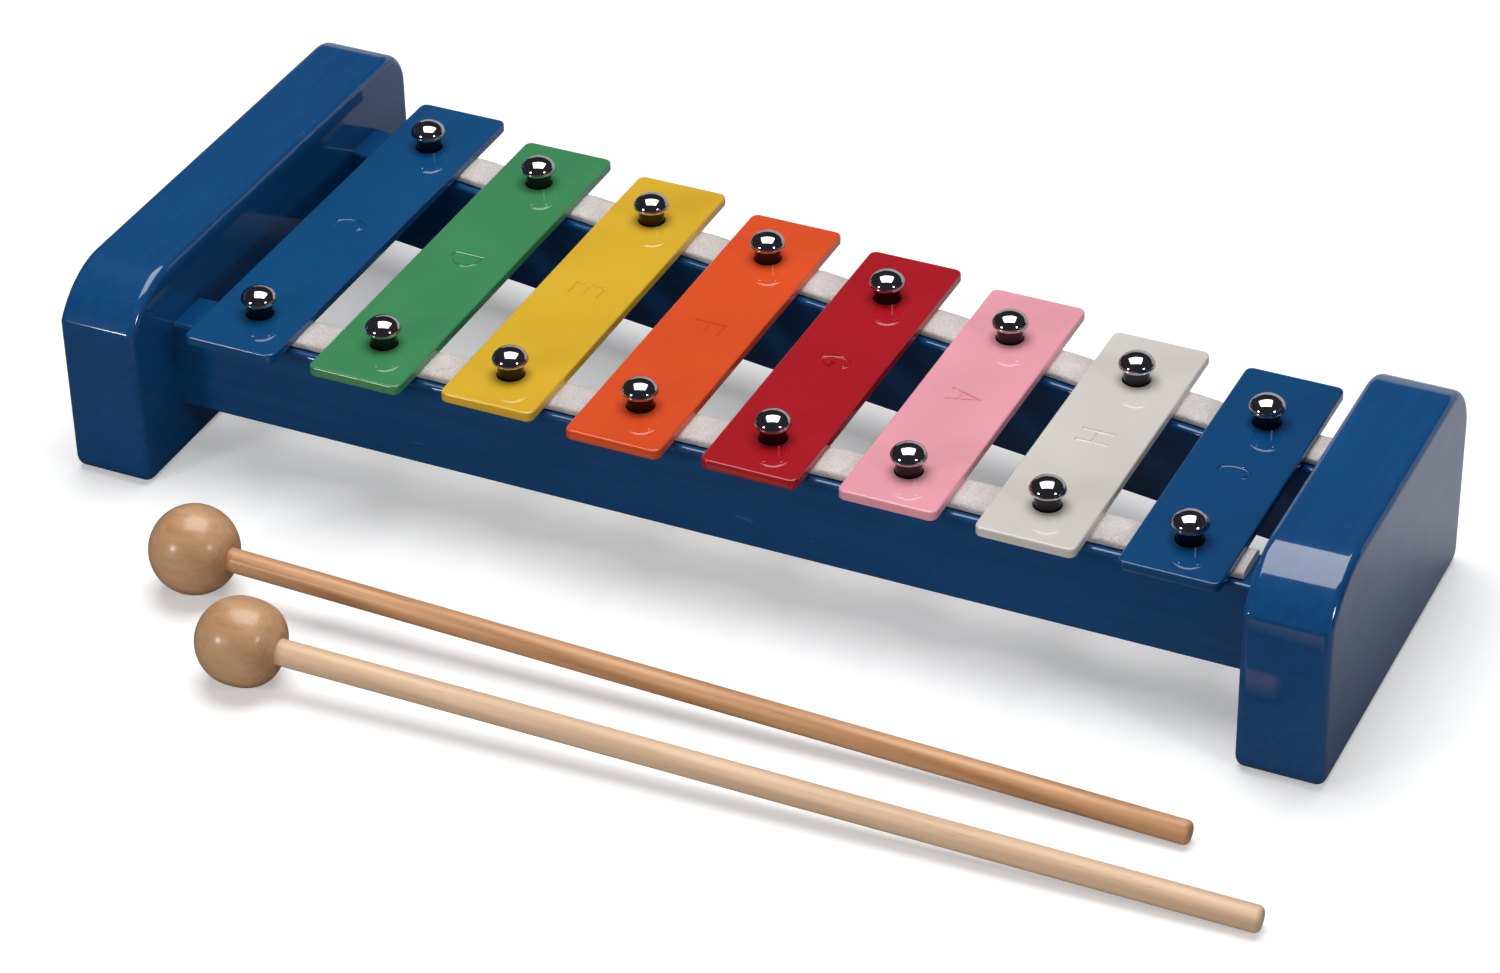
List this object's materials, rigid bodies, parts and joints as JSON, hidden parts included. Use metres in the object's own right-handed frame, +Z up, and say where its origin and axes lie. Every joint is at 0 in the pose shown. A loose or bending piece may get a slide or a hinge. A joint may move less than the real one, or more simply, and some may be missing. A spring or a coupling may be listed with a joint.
{
  "type": "toy metal-bar xylophone",
  "caption": "Diatonic toy xylophone: tuned coloured metal bars pinned loosely over felt on two wooden rails between end blocks, with a pair of wooden mallets.",
  "frame": {"origin": "bottom centre of the bounding box of the instrument and its mallets, on the ground plane", "axes": "+X from the low-note end to the high-note end, +Y from the player to the back, +Z up"},
  "size_m": [0.3346, 0.2122, 0.055],
  "materials": {
    "blue_enamelled_wood": "gloss blue enamel over smooth beech",
    "felt": "pressed white wool felt",
    "bar_blue": "gloss enamel",
    "bar_green": "gloss enamel",
    "bar_yellow": "gloss enamel",
    "bar_orange": "gloss enamel",
    "bar_red": "gloss enamel",
    "bar_pink": "gloss enamel",
    "bar_white": "gloss enamel",
    "pin_chrome": "polished",
    "dowel_wood": "raw beech",
    "mallet_head_wood": "satin varnish",
    "mallet_stick_dark": "satin varnish",
    "mallet_stick_light": "fine sanded"
  },
  "bodies": {
    "frame": {"end_block_low": "blue_enamelled_wood", "end_block_high": "blue_enamelled_wood", "rail_front": "blue_enamelled_wood", "rail_back": "blue_enamelled_wood", "felt_front": "felt", "felt_back": "felt", "pin_front_c_low": "pin_chrome", "pin_front_d": "pin_chrome", "pin_front_e": "pin_chrome", "pin_front_f": "pin_chrome", "pin_front_g": "pin_chrome", "pin_front_a": "pin_chrome", "pin_front_h": "pin_chrome", "pin_front_c_high": "pin_chrome", "pin_back_c_low": "pin_chrome", "pin_back_d": "pin_chrome", "pin_back_e": "pin_chrome", "pin_back_f": "pin_chrome", "pin_back_g": "pin_chrome", "pin_back_a": "pin_chrome", "pin_back_h": "pin_chrome", "pin_back_c_high": "pin_chrome", "dowel_front_low_lower": "dowel_wood", "dowel_front_low_upper": "dowel_wood", "dowel_front_high_lower": "dowel_wood", "dowel_front_high_upper": "dowel_wood", "dowel_back_low_lower": "dowel_wood", "dowel_back_low_upper": "dowel_wood", "dowel_back_high_lower": "dowel_wood", "dowel_back_high_upper": "dowel_wood"},
    "bar_c_low": {"bar_c_low": "bar_blue"},
    "bar_d": {"bar_d": "bar_green"},
    "bar_e": {"bar_e": "bar_yellow"},
    "bar_f": {"bar_f": "bar_orange"},
    "bar_g": {"bar_g": "bar_red"},
    "bar_a": {"bar_a": "bar_pink"},
    "bar_h": {"bar_h": "bar_white"},
    "bar_c_high": {"bar_c_high": "bar_blue"},
    "mallet_rear": {"mallet_rear_head": "mallet_head_wood", "mallet_rear_stick": "mallet_stick_dark"},
    "mallet_front": {"mallet_front_head": "mallet_head_wood", "mallet_front_stick": "mallet_stick_light"}
  },
  "joints": [
    {"name": "bar_c_low_float", "type": "slide", "parent": "frame", "child": "bar_c_low", "axis": [0, 0, 1], "range_m": [0, 0.0035]},
    {"name": "bar_d_float", "type": "slide", "parent": "frame", "child": "bar_d", "axis": [0, 0, 1], "range_m": [0, 0.0035]},
    {"name": "bar_e_float", "type": "slide", "parent": "frame", "child": "bar_e", "axis": [0, 0, 1], "range_m": [0, 0.0035]},
    {"name": "bar_f_float", "type": "slide", "parent": "frame", "child": "bar_f", "axis": [0, 0, 1], "range_m": [0, 0.0035]},
    {"name": "bar_g_float", "type": "slide", "parent": "frame", "child": "bar_g", "axis": [0, 0, 1], "range_m": [0, 0.0035]},
    {"name": "bar_a_float", "type": "slide", "parent": "frame", "child": "bar_a", "axis": [0, 0, 1], "range_m": [0, 0.0035]},
    {"name": "bar_h_float", "type": "slide", "parent": "frame", "child": "bar_h", "axis": [0, 0, 1], "range_m": [0, 0.0035]},
    {"name": "bar_c_high_float", "type": "slide", "parent": "frame", "child": "bar_c_high", "axis": [0, 0, 1], "range_m": [0, 0.0035]},
    {"name": "mallet_rear_lift", "type": "slide", "parent": "frame", "child": "mallet_rear", "axis": [0, 0, 1], "range_m": [0, 0.06]},
    {"name": "mallet_front_lift", "type": "slide", "parent": "frame", "child": "mallet_front", "axis": [0, 0, 1], "range_m": [0, 0.06]}
  ]
}
